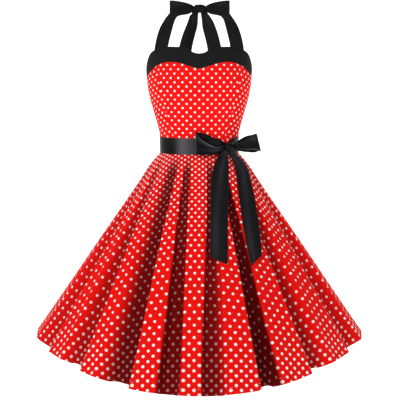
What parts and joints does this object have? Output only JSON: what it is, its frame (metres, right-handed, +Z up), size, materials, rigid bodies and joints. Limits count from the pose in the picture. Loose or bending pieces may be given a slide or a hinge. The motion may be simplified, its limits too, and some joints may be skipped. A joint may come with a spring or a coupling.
{
  "type": "halter-neck swing dress",
  "caption": "Knee-length sleeveless dress with a halter tied at the nape, a sweetheart bust band, a fitted bodice, a full flared skirt and a ribbon belt tied in a bow.",
  "frame": {"origin": "the nape of the wearer's neck, where the halter lies on it, midway between left and right", "axes": "+Z up; the dress faces -Y; +X towards the wearer's left side"},
  "size_m": [1.0478, 1.0099, 1.0793],
  "materials": {
    "dotted_cotton": "plain-weave stretch cotton, red with small white dots",
    "black_cotton": "matte black plain-weave cotton",
    "black_satin": "soft black satin ribbon with a sheen",
    "zip_tape": "black woven zip tape",
    "zip_metal": "black lacquered metal"
  },
  "bodies": {
    "dress": {"bodice_front": "dotted_cotton", "bodice_side_front_left": "dotted_cotton", "bodice_side_front_right": "dotted_cotton", "bodice_back_left": "dotted_cotton", "bodice_back_right": "dotted_cotton", "skirt_front": "dotted_cotton", "skirt_back_left": "dotted_cotton", "skirt_back_right": "dotted_cotton", "bust_band_front": "black_cotton", "bust_band_back_left": "black_cotton", "bust_band_back_right": "black_cotton", "halter_strap_left": "black_cotton", "halter_strap_right": "black_cotton", "neck_knot": "black_cotton", "neck_loop_left": "black_cotton", "neck_loop_right": "black_cotton", "neck_tail_left": "black_cotton", "neck_tail_right": "black_cotton", "ribbon_belt": "black_satin", "waist_knot": "black_satin", "waist_loop_left": "black_satin", "waist_loop_right": "black_satin", "waist_tail_left": "black_satin", "waist_tail_right": "black_satin", "zip_tape_upper": "zip_tape", "zip_tape_lower": "zip_tape", "zip_slider": "zip_metal"},
    "zip_pull": {"zip_pull": "zip_metal"}
  },
  "joints": [
    {"name": "pull_swing", "type": "hinge", "parent": "dress", "child": "zip_pull", "pos_m": [0, 0.03486, -0.2165], "axis": [1, 0, 0], "range_deg": [0, 150]}
  ]
}
